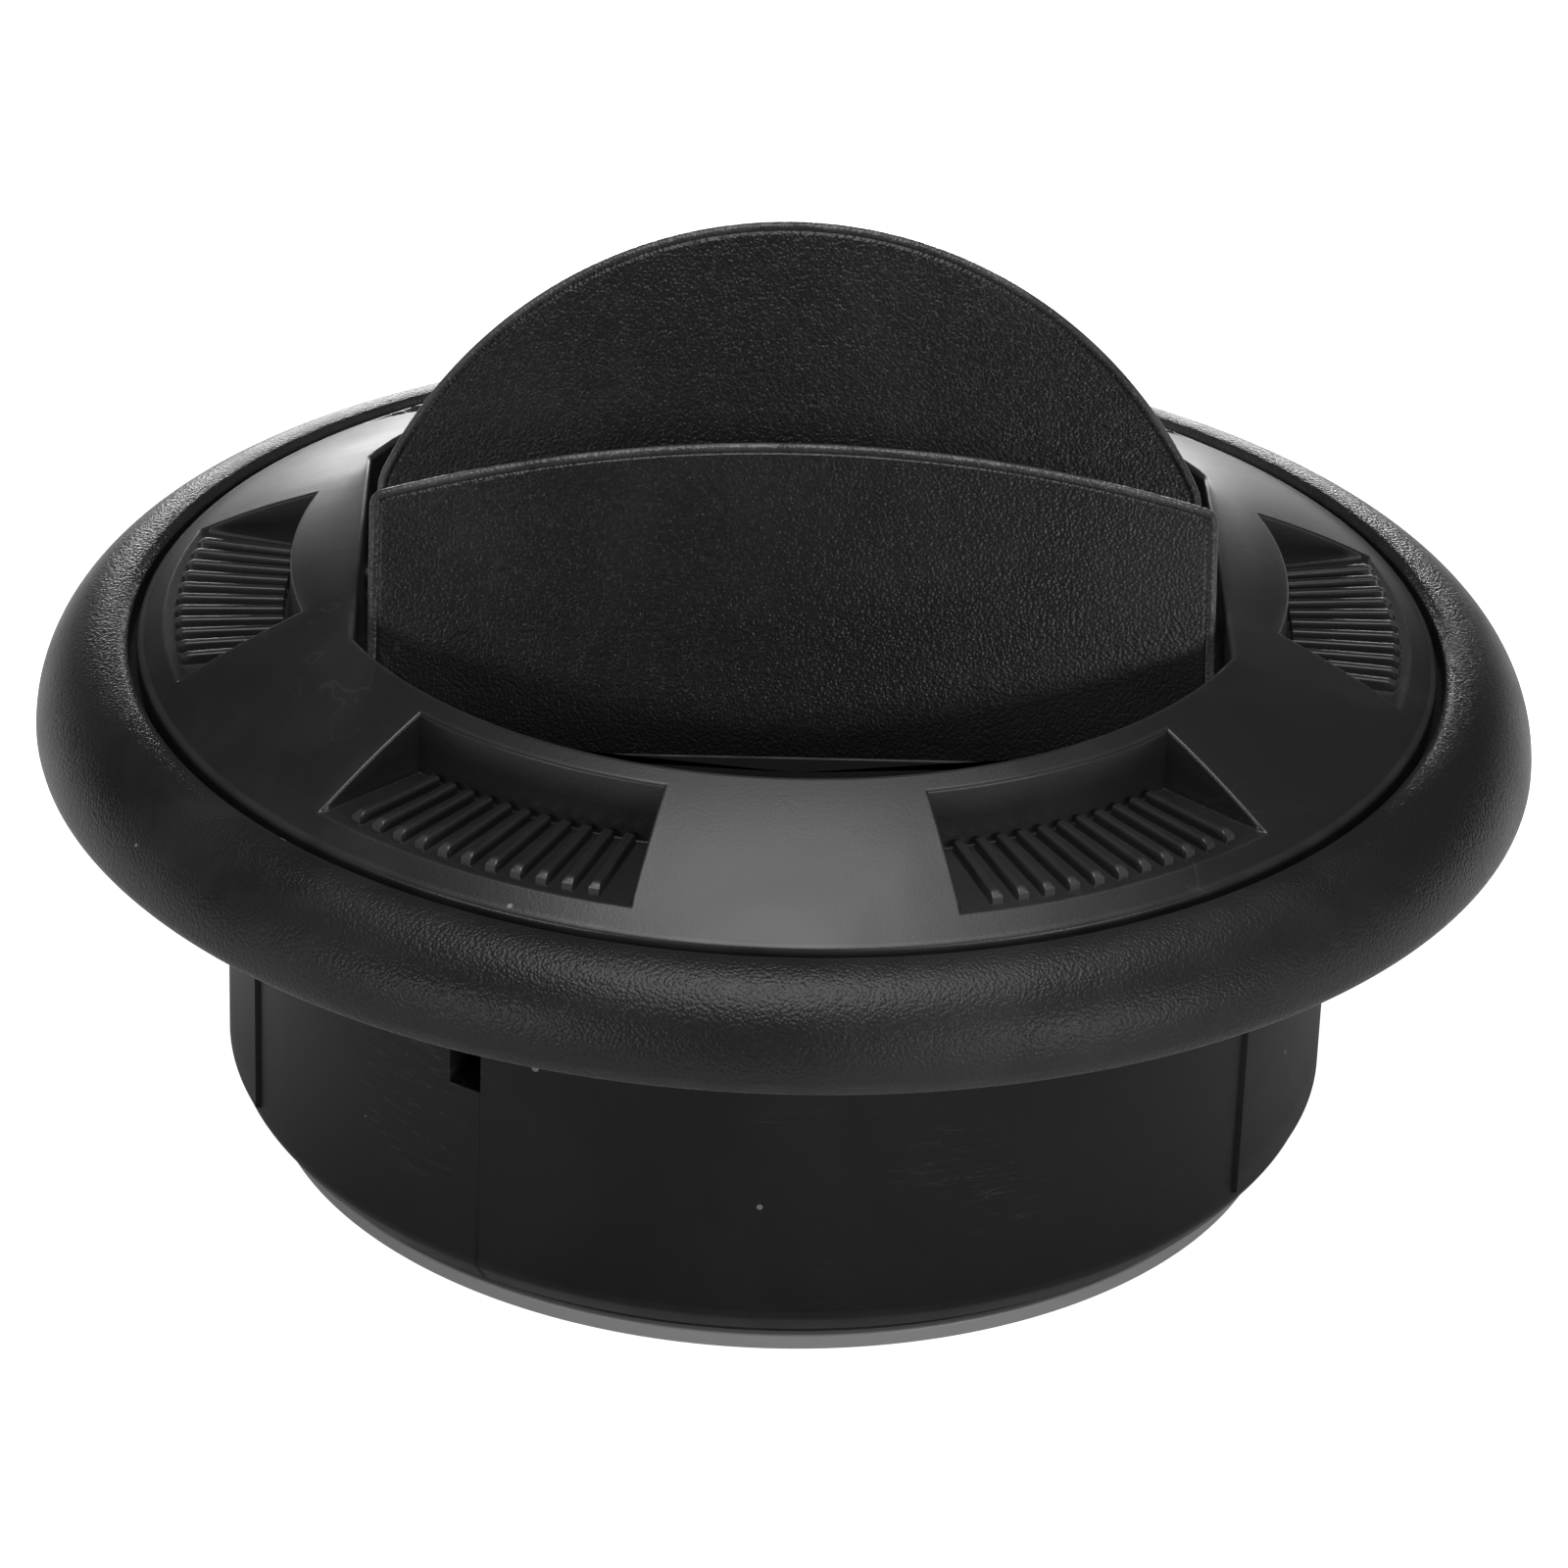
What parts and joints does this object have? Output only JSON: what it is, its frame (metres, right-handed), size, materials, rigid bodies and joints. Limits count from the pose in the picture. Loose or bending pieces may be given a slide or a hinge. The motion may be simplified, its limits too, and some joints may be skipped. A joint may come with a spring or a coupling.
{
  "type": "rotatable closable air outlet",
  "caption": "Round duct air outlet: a bullnose flange on a spigot holds a turning grip ring with ribbed finger pockets and two linked tilting blades that close the opening.",
  "frame": {"origin": "on the outlet's axis, at the underside of the retaining ring, which is the lowest face", "axes": "+Z out of the duct into the room along the outlet's axis; +X along the blades' pivots; the open side of the blades faces -Y"},
  "size_m": [0.1012, 0.1012, 0.0593],
  "materials": {
    "housing": "black, fine grained flange and smooth spigot",
    "rotor": "black, satin",
    "sleeve": "black, smooth",
    "retainer": "dark grey, smooth",
    "rubber": "black rubber",
    "blade": "black, pebbled",
    "link": "black, smooth",
    "pin": "black, smooth"
  },
  "bodies": {
    "housing": {"housing": "housing"},
    "rotor": {"grip_ring": "rotor", "duct_sleeve": "sleeve", "retaining_ring": "retainer", "friction_ring": "rubber"},
    "front_blade": {"front_blade": "blade", "front_pin_left": "pin", "front_pin_right": "pin", "front_link_pin": "pin"},
    "rear_blade": {"rear_blade": "blade", "rear_pin_left": "pin", "rear_pin_right": "pin", "rear_link_pin": "pin"},
    "link": {"link_bar": "link"}
  },
  "joints": [
    {"name": "rotor_spin", "type": "hinge", "parent": "housing", "child": "rotor", "pos_m": [0, 0, 0.03], "axis": [0, 0, 1], "continuous": true},
    {"name": "front_blade_tilt", "type": "hinge", "parent": "rotor", "child": "front_blade", "pos_m": [0, -0.0084, 0.03528], "axis": [1, 0, 0], "range_deg": [-65, 0]},
    {"name": "rear_blade_tilt", "type": "hinge", "parent": "rotor", "child": "rear_blade", "pos_m": [0, 0.0058, 0.03528], "axis": [1, 0, 0], "range_deg": [-65, 0]},
    {"name": "link_swing", "type": "hinge", "parent": "front_blade", "child": "link", "pos_m": [0, -0.00296, 0.03274], "axis": [1, 0, 0], "range_deg": [0, 65]}
  ],
  "couplings": [
    {"joint": "rear_blade_tilt", "follows": "front_blade_tilt", "ratio": 1},
    {"joint": "link_swing", "follows": "front_blade_tilt", "ratio": -1}
  ]
}
